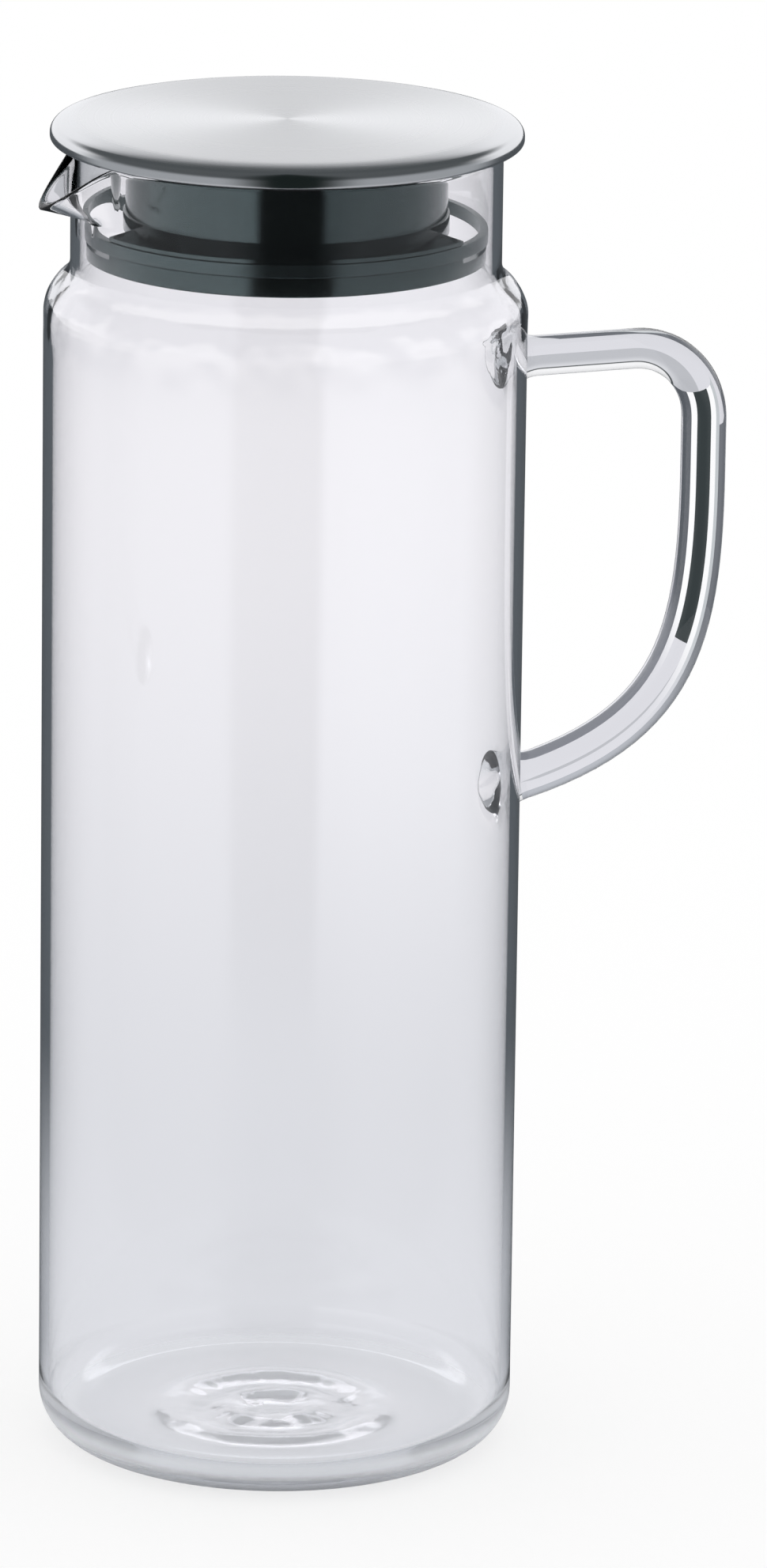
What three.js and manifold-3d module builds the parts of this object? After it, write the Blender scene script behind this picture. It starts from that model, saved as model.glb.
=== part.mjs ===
// Glass water pitcher with a pour lid: a blown vessel with a pulled spout, a fused rod handle,
// a steel cap on a black stopper, and a soft ring that runs in the neck.
// Millimetres, +Z up, base on z = 0, handle towards +X, spout towards -X.
import * as THREE from "three";
import { mergeVertices } from "three/addons/utils/BufferGeometryUtils.js";
import Module from "manifold-3d";

const wasm = await Module();
wasm.setup();

// Vessel
const BODY_R = 50;
const WALL = 2;
const BASE_T = 4.5;
const BASE_CORNER_R = 10;
const SHOULDER_Z = 242.8;
const SHOULDER_BEND_R = 9.5;
const NECK_BEND_R = 4.6;
const NECK_R = 44.5;
const RIM_Z = 278.4;
const RIPPLE_PITCH = 9;
const RIPPLE_COUNT = 3;
const RIPPLE_HEIGHT = 0.35;

// Spout, pulled out of the neck's rim
const SPOUT_REACH = 9.6;
const SPOUT_DIP = 10.4;
const SPOUT_ROOT = 16.4; // height of neck that the pull draws out, measured down from the rim
const SPOUT_HALF_ANGLE = THREE.MathUtils.degToRad(19);
const SPOUT_FLARE = 1.4;

// Handle: a bar, a bend, a grip and a long curve back to the wall
const ROD_D = 9.2;
const HANDLE_BAR_Z = 229.7;
const HANDLE_REACH = 43.8; // from the wall to the middle of the grip
const HANDLE_BEND_R = 16;
const GRIP_END_Z = 202;
const LOWER_ROOT_Z = 137;
const LOWER_RISE = 7.5; // how far the rod climbs on its way out of the lower root
const FOOT_D = 12.4;
const FOOT_LENGTH = 6;
const FUSE_GAP = 0.2;

// Lid
const CAP_OVERHANG = 4.3; // beyond the neck
const CAP_SHEET = 0.7;
const CAP_TOP_BEND_R = 2.4;
const CAP_HEM_BEND_R = 1.6;
const PLATE_T = 2.9;
const PLATE_GAP = 0.3;
const HEM_GAP = 0.4;
const SEAT_GAP = 0.3;
const SEAT_LIP = 0.3; // the ring under the plate that stands on the rim
const SEAT_MARGIN = 0.5;
const COLLAR_R = 34.5;
const COLLAR_WALL = 2.2;
const COLLAR_LENGTH = 12.9; // from the seat to the top of the flange's cone
const FLANGE_HEIGHT = 10.5;
const FLANGE_WALL = 3.2;
const FLANGE_EDGE_DROP = 2.9; // slope of the flange's conical top
const WEB_T = 2.2;
const SLOT_START = -31; // degrees from the lid's own X, towards the closed side
const SLOT_END = 50;
const SKIRT_END = -14; // where the closed side's lower wall stops
const SLOT_ROOT = 0.4;
const LID_TURN = -20; // degrees from the handle's direction

// Seal
const LIP_GAP = 0.4;
const LIP_REACH = 1.7; // beyond the flange
const LIP_BEVEL = 0.8;
const SEAL_DEPTH = 1.2; // how far the ring sits into the flange
const SEAL_HEIGHT = 2.8;
const SEAL_TOP_DROP = 0.7; // below the flange's edge
const GROOVE_GAP = 0.3;

// Derived places
const NECK_IN_R = NECK_R - WALL;
const FLANGE_R = NECK_IN_R - LIP_GAP - LIP_REACH;
const CAP_R = NECK_R + CAP_OVERHANG;
const SEAT_Z = RIM_Z + SEAT_GAP;
const PLATE_Z = SEAT_Z + SEAT_LIP;
const CAP_TOP_Z = PLATE_Z + PLATE_T + PLATE_GAP + CAP_SHEET;
const CONE_Z = SEAT_Z - COLLAR_LENGTH;
const FLANGE_EDGE_Z = CONE_Z - FLANGE_EDGE_DROP;
const FLANGE_Z = CONE_Z - FLANGE_HEIGHT;
const SEAL_TOP_Z = FLANGE_EDGE_Z - SEAL_TOP_DROP;
const SEAL_Z = SEAL_TOP_Z - SEAL_HEIGHT;

const BODY_SEGMENTS = 64;
const LID_SEGMENTS = 56;
const ROD_SIDES = 18;
const ROD_STEPS = 44;
const FOOT_SIDES = 24;
const SPOUT_CROWDING = 0.62; // draws the vessel's segments towards the spout

const GLASS = new THREE.MeshStandardMaterial({
  color: 0xe4e9ea,
  roughness: 0.03,
  metalness: 0,
  transparent: true,
  opacity: 0.35,
});
const STEEL = new THREE.MeshStandardMaterial({ color: 0xc9cbce, roughness: 0.32, metalness: 1 });
const BLACK_PLASTIC = new THREE.MeshStandardMaterial({ color: 0x14181a, roughness: 0.2, metalness: 0 });
const SILICONE = new THREE.MeshStandardMaterial({ color: 0x191c1d, roughness: 0.5, metalness: 0 });

const point = (r, z) => new THREE.Vector2(r, z);

// Points on an arc about (r, z), angles in degrees from the outward direction, both ends included.
function arc(r, z, radius, from, to, steps) {
  return Array.from({ length: steps + 1 }, (_, i) => {
    const angle = THREE.MathUtils.degToRad(from + ((to - from) * i) / steps);
    return point(r + radius * Math.cos(angle), z + radius * Math.sin(angle));
  });
}

// Heights spread evenly between two levels, ends left out.
function between(from, to, count) {
  return Array.from({ length: count }, (_, i) => from + ((to - from) * (i + 1)) / (count + 1));
}

// A profile of radius and height, drawn anticlockwise, turned about Z.
function revolve(profile, segments) {
  return new THREE.LatheGeometry(profile, segments).rotateX(Math.PI / 2);
}

function toSolid(geometry) {
  const bare = geometry.clone();
  bare.deleteAttribute("normal");
  bare.deleteAttribute("uv");
  const merged = mergeVertices(bare, 1e-3);
  return new wasm.Manifold(
    new wasm.Mesh({
      numProp: 3,
      vertProperties: merged.attributes.position.array,
      triVerts: new Uint32Array(merged.index.array),
    }),
  );
}

function toGeometry(solid) {
  const mesh = solid.getMesh();
  const geometry = new THREE.BufferGeometry();
  geometry.setAttribute("position", new THREE.BufferAttribute(mesh.vertProperties, 3));
  geometry.setIndex(new THREE.BufferAttribute(mesh.triVerts, 1));
  geometry.computeVertexNormals();
  return geometry;
}

function part(name, geometry, material) {
  const mesh = new THREE.Mesh(geometry, material);
  mesh.name = name;
  return mesh;
}

// One skin of the shoulder, from the wall up to the neck: a convex bend that runs into a concave
// one. The inner skin is the same pair of bends moved by the wall's thickness.
function shoulder(offset, steps) {
  const bends = SHOULDER_BEND_R + NECK_BEND_R;
  const slope = Math.acos(1 - (BODY_R - NECK_R) / bends);
  const degrees = THREE.MathUtils.radToDeg(slope);
  const neckZ = SHOULDER_Z + bends * Math.sin(slope);
  const outerBend = arc(BODY_R - SHOULDER_BEND_R, SHOULDER_Z, SHOULDER_BEND_R - offset, 0, degrees, steps);
  const neckBend = arc(NECK_R + NECK_BEND_R, neckZ, NECK_BEND_R + offset, 180 + degrees, 180, steps);
  return [...outerBend, ...neckBend.slice(1)];
}

// Rings moulded into the inside of the base, dying out towards the edge.
function baseRings() {
  const stepsPerRing = 4;
  const count = RIPPLE_COUNT * stepsPerRing;
  const reach = RIPPLE_COUNT * RIPPLE_PITCH;
  return Array.from({ length: count + 1 }, (_, i) => {
    const r = (reach * (count - i)) / count;
    const wave = 1 + Math.cos((2 * Math.PI * r) / RIPPLE_PITCH);
    return point(r, BASE_T + RIPPLE_HEIGHT * wave * (1 - r / reach));
  });
}

function vesselProfile() {
  const cornerR = BODY_R - BASE_CORNER_R;
  const spoutZ = RIM_Z - SPOUT_ROOT;
  const rimR = WALL / 2;
  const innerCornerR = BASE_CORNER_R - WALL;
  const neckRows = between(spoutZ, RIM_Z - rimR, 4);
  return [
    point(0, 0),
    ...arc(cornerR, BASE_CORNER_R, BASE_CORNER_R, -90, 0, 6),
    ...shoulder(0, 4),
    point(NECK_R, spoutZ),
    ...neckRows.map((z) => point(NECK_R, z)),
    ...arc(NECK_R - rimR, RIM_Z - rimR, rimR, 0, 180, 4),
    ...neckRows.toReversed().map((z) => point(NECK_IN_R, z)),
    point(NECK_IN_R, spoutZ),
    ...shoulder(WALL, 4).toReversed(),
    ...arc(cornerR, BASE_T + innerCornerR, innerCornerR, 0, -90, 5),
    ...baseRings(),
  ];
}

// How strongly the pull of the spout acts at an angle from the spout's own direction.
function spoutPull(angle) {
  const share = Math.min(Math.abs(angle) / SPOUT_HALF_ANGLE, 1);
  return Math.cos((share * Math.PI) / 2) ** 2;
}

// The revolved vessel with its segments crowded towards -X, and its rim drawn out and down there.
function vessel() {
  const geometry = revolve(vesselProfile(), BODY_SEGMENTS);
  const position = geometry.attributes.position;
  const spoutZ = RIM_Z - SPOUT_ROOT;
  for (let i = 0; i < position.count; i++) {
    const radius = Math.hypot(position.getX(i), position.getY(i));
    const even = Math.atan2(position.getY(i), position.getX(i));
    const angle = even + SPOUT_CROWDING * Math.sin(even);
    const rise = Math.max(0, position.getZ(i) - spoutZ) / SPOUT_ROOT;
    const pull = spoutPull(Math.PI - Math.abs(angle));
    const drawn = radius + pull * SPOUT_REACH * rise ** SPOUT_FLARE;
    const z = position.getZ(i) - pull * SPOUT_DIP * rise;
    position.setXYZ(i, drawn * Math.cos(angle), drawn * Math.sin(angle), z);
  }
  return geometry;
}

// Middle line of the rod, from inside the wall at the bar to inside the wall at the lower root.
function handlePath() {
  const gripX = BODY_R + HANDLE_REACH;
  const bendX = gripX - HANDLE_BEND_R;
  const bendZ = HANDLE_BAR_Z - HANDLE_BEND_R;
  const at = (x, z) => new THREE.Vector3(x, 0, z);
  const round = 0.5523 * HANDLE_BEND_R; // control length that makes a quarter circle
  const drop = GRIP_END_Z - LOWER_ROOT_Z;
  const path = new THREE.CurvePath();
  path.add(new THREE.LineCurve3(at(BODY_R - ROD_D / 2, HANDLE_BAR_Z), at(bendX, HANDLE_BAR_Z)));
  path.add(
    new THREE.CubicBezierCurve3(
      at(bendX, HANDLE_BAR_Z),
      at(bendX + round, HANDLE_BAR_Z),
      at(gripX, bendZ + round),
      at(gripX, bendZ),
    ),
  );
  path.add(new THREE.LineCurve3(at(gripX, bendZ), at(gripX, GRIP_END_Z)));
  path.add(
    new THREE.CubicBezierCurve3(
      at(gripX, GRIP_END_Z),
      at(gripX, GRIP_END_Z - 0.59 * drop),
      at(gripX - 0.12 * HANDLE_REACH, LOWER_ROOT_Z + LOWER_RISE),
      at(BODY_R - ROD_D / 2, LOWER_ROOT_Z),
    ),
  );
  return path;
}

// A foot that swells from the rod to its fused face, along the rod's end.
function foot(end, inward) {
  const rodR = ROD_D / 2;
  const swell = FOOT_D / 2 - rodR;
  const wallDepth = rodR;
  const flare = Array.from({ length: 6 }, (_, i) => {
    const share = i / 5;
    return point(rodR - 0.05 + swell * (1 - share) ** 2, wallDepth + FOOT_LENGTH * share);
  });
  const profile = [point(0, 0), point(FOOT_D / 2, 0), ...flare, point(0, wallDepth + FOOT_LENGTH)];
  const geometry = revolve(profile, FOOT_SIDES);
  const outward = inward.clone().negate();
  const turn = new THREE.Quaternion().setFromUnitVectors(new THREE.Vector3(0, 0, 1), outward);
  geometry.applyQuaternion(turn);
  geometry.translate(end.x, end.y, end.z);
  return toSolid(geometry);
}

function handle() {
  const path = handlePath();
  const section = new THREE.Shape().absarc(0, 0, ROD_D / 2, 0, 2 * Math.PI);
  const rod = new THREE.ExtrudeGeometry(section, {
    steps: ROD_STEPS,
    curveSegments: ROD_SIDES / 2,
    extrudePath: path,
  });
  const clearR = (BODY_R + FUSE_GAP) / Math.cos(Math.PI / BODY_SEGMENTS);
  const wall = new THREE.CylinderGeometry(clearR, clearR, 2 * RIM_Z, 2 * BODY_SEGMENTS).rotateX(Math.PI / 2);
  const upperFoot = foot(path.getPoint(0), path.getTangent(0).negate());
  const lowerFoot = foot(path.getPoint(1), path.getTangent(1));
  return toGeometry(toSolid(rod).add(upperFoot).add(lowerFoot).subtract(toSolid(wall)));
}

// Pressed sheet: flat top, rolled edge and a hem turned in below it.
function capProfile() {
  const topR = CAP_R - CAP_TOP_BEND_R;
  const hemR = CAP_R - CAP_HEM_BEND_R;
  const edgeZ = CAP_TOP_Z - CAP_TOP_BEND_R;
  return [
    point(0, CAP_TOP_Z - CAP_SHEET),
    ...arc(topR, edgeZ, CAP_TOP_BEND_R - CAP_SHEET, 90, 0, 4),
    ...arc(hemR, edgeZ, CAP_HEM_BEND_R - CAP_SHEET, 0, -90, 3).slice(1),
    ...arc(hemR, edgeZ, CAP_HEM_BEND_R, -90, 0, 4),
    ...arc(topR, edgeZ, CAP_TOP_BEND_R, 0, 90, 6).slice(1),
    point(0, CAP_TOP_Z),
  ];
}

// Plate, seat ring, hollow collar and flange in one moulding, with the ring's groove round it.
function stopperProfile() {
  const plateR = CAP_R - CAP_HEM_BEND_R - HEM_GAP;
  const seatOuterR = NECK_R + SEAT_MARGIN;
  const seatInnerR = NECK_IN_R - SEAT_MARGIN;
  const grooveR = FLANGE_R - SEAL_DEPTH - GROOVE_GAP;
  const hollowR = COLLAR_R - COLLAR_WALL;
  const wallInnerR = FLANGE_R - FLANGE_WALL;
  const edgeBreak = 0.4;
  return [
    point(0, PLATE_Z),
    point(hollowR, PLATE_Z),
    point(hollowR, FLANGE_Z),
    point(COLLAR_R, FLANGE_Z),
    point(COLLAR_R, CONE_Z - FLANGE_EDGE_DROP - WEB_T),
    point(wallInnerR, CONE_Z - FLANGE_EDGE_DROP - WEB_T),
    point(wallInnerR, FLANGE_Z),
    point(FLANGE_R - edgeBreak, FLANGE_Z),
    point(FLANGE_R, FLANGE_Z + edgeBreak),
    point(FLANGE_R, SEAL_Z - GROOVE_GAP),
    point(grooveR, SEAL_Z - GROOVE_GAP),
    point(grooveR, SEAL_TOP_Z + GROOVE_GAP),
    point(FLANGE_R, SEAL_TOP_Z + GROOVE_GAP),
    point(FLANGE_R, FLANGE_EDGE_Z),
    point(COLLAR_R, CONE_Z),
    point(COLLAR_R, PLATE_Z),
    point(seatInnerR, PLATE_Z),
    point(seatInnerR, SEAT_Z),
    point(seatOuterR, SEAT_Z),
    point(seatOuterR, PLATE_Z),
    point(plateR, PLATE_Z),
    point(plateR, PLATE_Z + PLATE_T),
    point(0, PLATE_Z + PLATE_T),
  ];
}

// A cutter that opens the flange beyond the collar, between two angles and two levels.
function opening(from, to, bottom, top) {
  const [start, end] = [from, to].map(THREE.MathUtils.degToRad);
  const sector = new THREE.Shape();
  sector.absarc(0, 0, NECK_R, start, end, false);
  sector.absarc(0, 0, COLLAR_R + SLOT_ROOT, end, start, true);
  const geometry = new THREE.ExtrudeGeometry(sector, {
    depth: top - bottom,
    bevelEnabled: false,
    curveSegments: 20,
  });
  return toSolid(geometry.translate(0, 0, bottom));
}

// The moulding with a pour slot on either side, and no lower wall on the side that pours.
function stopper() {
  const skirtTop = SEAL_Z - GROOVE_GAP / 2;
  const core = toSolid(revolve(stopperProfile(), LID_SEGMENTS));
  const openSkirt = opening(SKIRT_END, 180 - SKIRT_END, FLANGE_Z - 1, skirtTop);
  const rightSlot = opening(SLOT_START, SLOT_END, skirtTop - 1, CONE_Z + 1);
  const leftSlot = opening(180 - SLOT_END, 180 - SLOT_START, skirtTop - 1, CONE_Z + 1);
  return toGeometry(core.subtract(openSkirt).subtract(rightSlot).subtract(leftSlot));
}

// Soft ring: a square root in the groove and a bevelled lip towards the glass.
function sealProfile() {
  const rootR = FLANGE_R - SEAL_DEPTH;
  const lipR = FLANGE_R + LIP_REACH;
  return [
    point(rootR, SEAL_Z),
    point(lipR - LIP_BEVEL, SEAL_Z),
    point(lipR, SEAL_Z + LIP_BEVEL),
    point(lipR, SEAL_TOP_Z - LIP_BEVEL / 2),
    point(lipR - LIP_BEVEL / 2, SEAL_TOP_Z),
    point(rootR, SEAL_TOP_Z),
    point(rootR, SEAL_Z),
  ];
}

const pitcher = new THREE.Group();
pitcher.name = "pitcher";
pitcher.add(part("glass_body", vessel(), GLASS));
pitcher.add(part("handle", handle(), GLASS));

const lid = new THREE.Group();
lid.name = "lid";
lid.rotation.z = THREE.MathUtils.degToRad(LID_TURN);
lid.add(part("lid_cap", revolve(capProfile(), LID_SEGMENTS), STEEL));
lid.add(part("stopper", stopper(), BLACK_PLASTIC));
lid.add(part("seal_ring", revolve(sealProfile(), LID_SEGMENTS), SILICONE));
pitcher.add(lid);

export default pitcher;
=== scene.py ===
# Glass water pitcher: blown glass with a fused rod handle, and a lid of brushed steel on a glossy
# black stopper with a soft ring. Sizes are named in millimetres and modelled in metres.
import math

import bpy
from mathutils import Matrix, Vector
from mathutils.geometry import interpolate_bezier


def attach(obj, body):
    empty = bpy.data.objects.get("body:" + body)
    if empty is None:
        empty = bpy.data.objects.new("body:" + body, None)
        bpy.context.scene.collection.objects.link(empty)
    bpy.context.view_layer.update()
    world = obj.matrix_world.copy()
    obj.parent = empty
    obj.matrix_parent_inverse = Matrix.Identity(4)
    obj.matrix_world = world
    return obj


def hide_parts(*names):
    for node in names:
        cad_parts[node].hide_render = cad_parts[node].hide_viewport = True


MM = 0.001

# Vessel
BODY_R = 50
WALL = 2
BASE_T = 4.5
BASE_CORNER_R = 10
SHOULDER_Z = 242.8
SHOULDER_BEND_R = 9.5
NECK_BEND_R = 4.6
NECK_R = 44.5
RIM_Z = 278.4
RING_START = 3.2
RING_PITCH = 12.3
RING_COUNT = 2
RING_HEIGHT = 0.5
RING_UNEVEN = 1.3
RING_LUMP = 8
RING_MARGIN = 0.1
SHOULDER_UNEVEN = 0.4
SHOULDER_LUMP = 8
SHOULDER_LOW_Z = 237
SHOULDER_HIGH_Z = 254
ROOT_SAG = 3.2
ROOT_LUMP = 5
ROOT_REACH = 9
FOOT_FACE = 6
FOOT_GLOW = 0.75
FOOT_GLOW_INSIDE = 0.4
GLOW_SHARE = 0.8

# Spout, pulled out of the neck's rim
SPOUT_REACH = 9.6
SPOUT_DIP = 10.4
SPOUT_ROOT = 13.2
SPOUT_HALF_ANGLE = math.radians(19)
SPOUT_FLARE = 1.1
SPOUT_LIP = 0.15

# Handle: a bar, a bend, a grip and a long curve back to the wall
ROD_D = 9.2
BAR_SHARE = 0.92
GRIP_SHARE = 1.03
LOWER_SHARE = 1.05
HANDLE_BAR_Z = 229.7
HANDLE_REACH = 43.8
HANDLE_BEND_R = 16
GRIP_END_Z = 202
GRIP_PULL = 0.59
LOWER_ROOT_Z = 137
LOWER_RISE = 7.5
LOWER_BELLY = 0.12
FOOT_D = 12.4
FOOT_LENGTH = 6
FOOT_DEPTH = 1.2
QUARTER_PULL = 0.5523
BAR_PULL = 9
ROOT_PULL = 1
GRIP_LEAD = 4
GRIP_X = BODY_R + HANDLE_REACH
ROOT_X = BODY_R - ROD_D / 2
BELLY_X = GRIP_X - LOWER_BELLY * HANDLE_REACH

# Lid
CAP_R = 48.8
CAP_SHEET = 0.7
CAP_CROWN_R = 25
CAP_CROWN = math.radians(15)
CAP_TOP_BEND_R = 2.2
CAP_SKIRT = 0.5
CAP_HEM_BEND_R = 0.9
CAP_TOP_Z = 283.5
EDGE_POLISH = 0.6
POLISH_START = 0.1
POLISH_END = 0.7
TOP_MIRROR = 0.55
SCATTER_START = 0.02
SCATTER_END = 0.3
PLATE_Z = 279.0
PLATE_T = 2.4
PLATE_R = 45.4
SEAT_Z = 278.7
SEAT_MARGIN = 0.5
COLLAR_R = 33.2
COLLAR_WALL = 2.2
CONE_Z = 264.7
FLANGE_R = 41.2
FLANGE_Z = 255.3
FLANGE_WALL = 3.2
FLANGE_EDGE_Z = 263.1
FLANGE_EDGE_R = 0.4
WEB_T = 2.2
SLOT_ROOT = 0.4
CUT_MARGIN = 1

# Slots and skirt of the lid, in degrees from its own X, and its turn from the handle
SLOT_START = -31
SLOT_END = 50
SKIRT_END = -4
LID_TURN = -20

# Seal
SEAL_Z = 259.4
SEAL_TOP_Z = 262.2
SEAL_DEPTH = 1.2
GROOVE_GAP = 0.1
LIP_REACH = 0.35
LIP_BEVEL = 0.3

# Patterns of the surfaces
DRAW_WIDTH = 14
DRAW_STRETCH = 0.1
GRIT_PITCH = 0.4
MOULD_SKIN = 6
SILICONE_BLOOM = 3

# Fineness of the meshes
GLASS_SEGMENTS = 256
LID_SEGMENTS = 192
WALL_ROWS = 96
CORNER_STEPS = 14
BEND_STEPS = 12
SPOUT_ROWS = 22
RIM_STEPS = 8
RING_STEPS = 16
FOOT_STEPS = 6
BASE_ROWS = 6
NECK_ROWS = 2
CENTRE_ROWS = 2
ROD_SIDE_STEPS = 14
ROD_STEPS = 28
TOP_ROWS = 8
SKIRT_ROWS = 2
CROWN_STEPS = 8
INNER_CROWN_STEPS = 6
CAP_BEND_STEPS = 14
INNER_BEND_STEPS = 8
HEM_STEPS = 10
STOPPER_ROWS = 4
CONE_ROWS = 2
FLANGE_EDGE_STEPS = 3
LIP_STEPS = 6
LIP_TOP_STEPS = 5
MERGE = 0.002
CUT_NEAR = 0.01
SMOOTH_ANGLE = math.radians(38)

# Camera, as found from the object's outline in a frame of 970 by 1983
FRAME_W = 970
FRAME_H = 1983
SENSOR = 36
CAMERA_TURN = math.radians(-20)
CAMERA_RISE = math.radians(15.7)
CAMERA_ROLL = math.radians(0.6)
CAMERA_DISTANCE = 2150
AIM_Z = 140
AIM_PIXEL = (354.8, 1001.2)
PIXELS_PER_MM = 6.05
CAMERA_BACK = Vector((
    math.sin(CAMERA_TURN) * math.cos(CAMERA_RISE),
    -math.cos(CAMERA_TURN) * math.cos(CAMERA_RISE),
    math.sin(CAMERA_RISE),
))
CAMERA_PLACE = Vector((0, 0, AIM_Z)) + CAMERA_DISTANCE * CAMERA_BACK

# Studio: bearings are in radians, heights of directions are sines, places on the floor are in
# metres, and the floor's drop and the cards behind the handle are in millimetres
FLOOR_R = 6
FLOOR_DROP = 0.1
FLOOR_SIDES = 96
FLOOR_DIFFUSE = 0.28
GAP_CENTRE = math.radians(3.5)
GAP_HALF = math.radians(23.5)
GAP_BLUR = math.radians(4)
OUTER_BLUR = math.radians(14)
PANEL_END = math.radians(113)
PANEL_BLUR = math.radians(15)
HAND_BLUR = 0.1
FRONT_DARK_START = 0.06
FRONT_DARK_END = 0.5
ZENITH_START = 0.36
ZENITH_END = 0.58
PANEL_NEAR = 0.15
PANEL_FAR = 0.5
FOOT_NEAR = 0.12
FOOT_FAR = 0.32
RISE_START = 0.05
RISE_END = 0.85
FALL_START = 0.88
FALL_END = 1.1
GREY_START = 0.93
GREY_END = 0.97
CARD_BEHIND = 25
CARD_ROWS = 48
CARD_FADE_LOW = 146
CARD_FADE_HIGH = 168
LINE_HALF = 4
LINE_END_Z = 164.8
LINE_START_Z = 221
INNER_CARD = (9.9, 110)
OUTER_CARD = (-30, -10)
SHEEN_EDGE = -7.2
OUTER_START_Z = 213
WINDOW_LOW = 0.48
WINDOW_HIGH = 0.62
WINDOW_BLUR = 0.03
LINE_LOW = 0.24
LINE_HIGH = 0.3
LINE_BLUR = 0.02
THIN_DEPTH = 2.5
STRAIGHT_DEPTH = 0.5

# Studio colours, linear
WHITE = (1, 1, 1, 1)
BACKDROP_NEAR = (0.795, 0.805, 0.835, 1)
BACKDROP_FAR = (0.985, 0.972, 0.995, 1)
BACKDROP_END = (0.88, 0.87, 0.9, 1)
GAP_COLOUR = (0.004, 0.006, 0.005, 1)
OUTER_GAP = (0.014, 0.02, 0.019, 1)
OUTER_LEFT = (0.44, 0.46, 0.48, 1)
OUTER_RIGHT = (0.42, 0.44, 0.46, 1)
INNER_LEFT = (1.36, 1.38, 1.41, 1)
INNER_RIGHT = (0.74, 0.76, 0.78, 1)
NEAR_PANEL = (0.58, 0.59, 0.61, 1)
FRONT_DARK = (0.11, 0.12, 0.125, 1)
INNER_DARK = (0.36, 0.37, 0.39, 1)
ZENITH = (0.1, 0.11, 0.115, 1)
WORLD_BEHIND = (1.06, 1.065, 1.085, 1)
# Painted dark reflection of the floor behind the object; to the camera the floor is white.
FLOOR_BEHIND = (0.09, 0.10, 0.11, 1)
# Painted shade along the glass's edges, shown only to rays turned inside a wall.
WORLD_EDGE = (0.72, 0.73, 0.76, 1)
FLOOR_EDGE = (0.11, 0.125, 0.14, 1)
FOOT_EDGE = (0.6, 0.62, 0.66, 1)
# Painted refraction that rods show: a dark line, shade at edges and rims, floor tones, highlights.
DARK_LINE = (0.042, 0.052, 0.054, 1)
GRIP_EDGE = (0.1, 0.11, 0.125, 1)
CURVE_EDGE = (0.24, 0.25, 0.28, 1)
GRIP_RIM = (0.17, 0.18, 0.2, 1)
CURVE_RIM = (0.5, 0.52, 0.56, 1)
ROD_NEAR = (0.79, 0.79, 0.83, 1)
ROD_FAR = (0.55, 0.56, 0.59, 1)
ROD_LOW = (0.79, 0.79, 0.83, 1)
GRIP_LIGHT = (1.08, 1.08, 1.08, 1)
GRIP_SHEEN = (0.6, 0.63, 0.65, 1)
# Painted highlights: a bright window seen only by rays reflected inside the vessel.
WINDOW = (3, 3, 3.1, 1)
# Painted refraction: a grey band that rods show of the world, under its dark line.
ROD_GREY_BAND = (0.74, 0.75, 0.78, 1)


class Profile:
    """An outline in the XZ plane, drawn from one vertex: lines are extruded and arcs are spun."""

    def __init__(self, r, z):
        bpy.ops.object.select_all(action="DESELECT")
        bpy.ops.mesh.primitive_plane_add(size=MM)
        bpy.ops.object.mode_set(mode="EDIT")
        bpy.ops.mesh.merge(type="CENTER")
        bpy.ops.transform.translate(value=(r * MM, 0, z * MM))
        self.r, self.z = r, z

    def line(self, r, z, rows=1):
        step = ((r - self.r) / rows * MM, 0, (z - self.z) / rows * MM)
        for _ in range(rows):
            bpy.ops.mesh.extrude_region_move(TRANSFORM_OT_translate={"value": step})
        self.r, self.z = r, z

    def arc(self, r, z, degrees, steps):
        """Goes round (r, z), anticlockwise where degrees is positive."""
        turn = math.radians(degrees)
        bpy.ops.mesh.spin(steps=steps, angle=turn, center=(r * MM, 0, z * MM), axis=(0, 1, 0))
        dr, dz = self.r - r, self.z - z
        self.r = r + dr * math.cos(turn) - dz * math.sin(turn)
        self.z = z + dr * math.sin(turn) + dz * math.cos(turn)

    def revolve(self, name, segments):
        bpy.ops.mesh.select_all(action="SELECT")
        bpy.ops.mesh.spin(steps=segments, angle=2 * math.pi, center=(0, 0, 0), axis=(0, 0, 1))
        return finish_mesh(name)


def finish_mesh(name):
    """Closes the mesh in edit mode, turns its faces outwards and leaves edit mode."""
    bpy.ops.mesh.select_all(action="SELECT")
    bpy.ops.mesh.remove_doubles(threshold=MERGE * MM)
    bpy.ops.mesh.normals_make_consistent(inside=False)
    bpy.ops.object.mode_set(mode="OBJECT")
    piece = bpy.context.object
    piece.name = name
    return piece


def make_active(piece):
    bpy.ops.object.select_all(action="DESELECT")
    piece.select_set(True)
    bpy.context.view_layer.objects.active = piece


def apply_modifier(piece, kind, **settings):
    make_active(piece)
    modifier = piece.modifiers.new(kind.lower(), kind)
    for key, value in settings.items():
        setattr(modifier, key, value)
    bpy.ops.object.modifier_apply(modifier=modifier.name)


def combine(piece, tool, operation):
    apply_modifier(piece, "BOOLEAN", object=tool, operation=operation, solver="MANIFOLD")
    bpy.data.objects.remove(tool)


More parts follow.
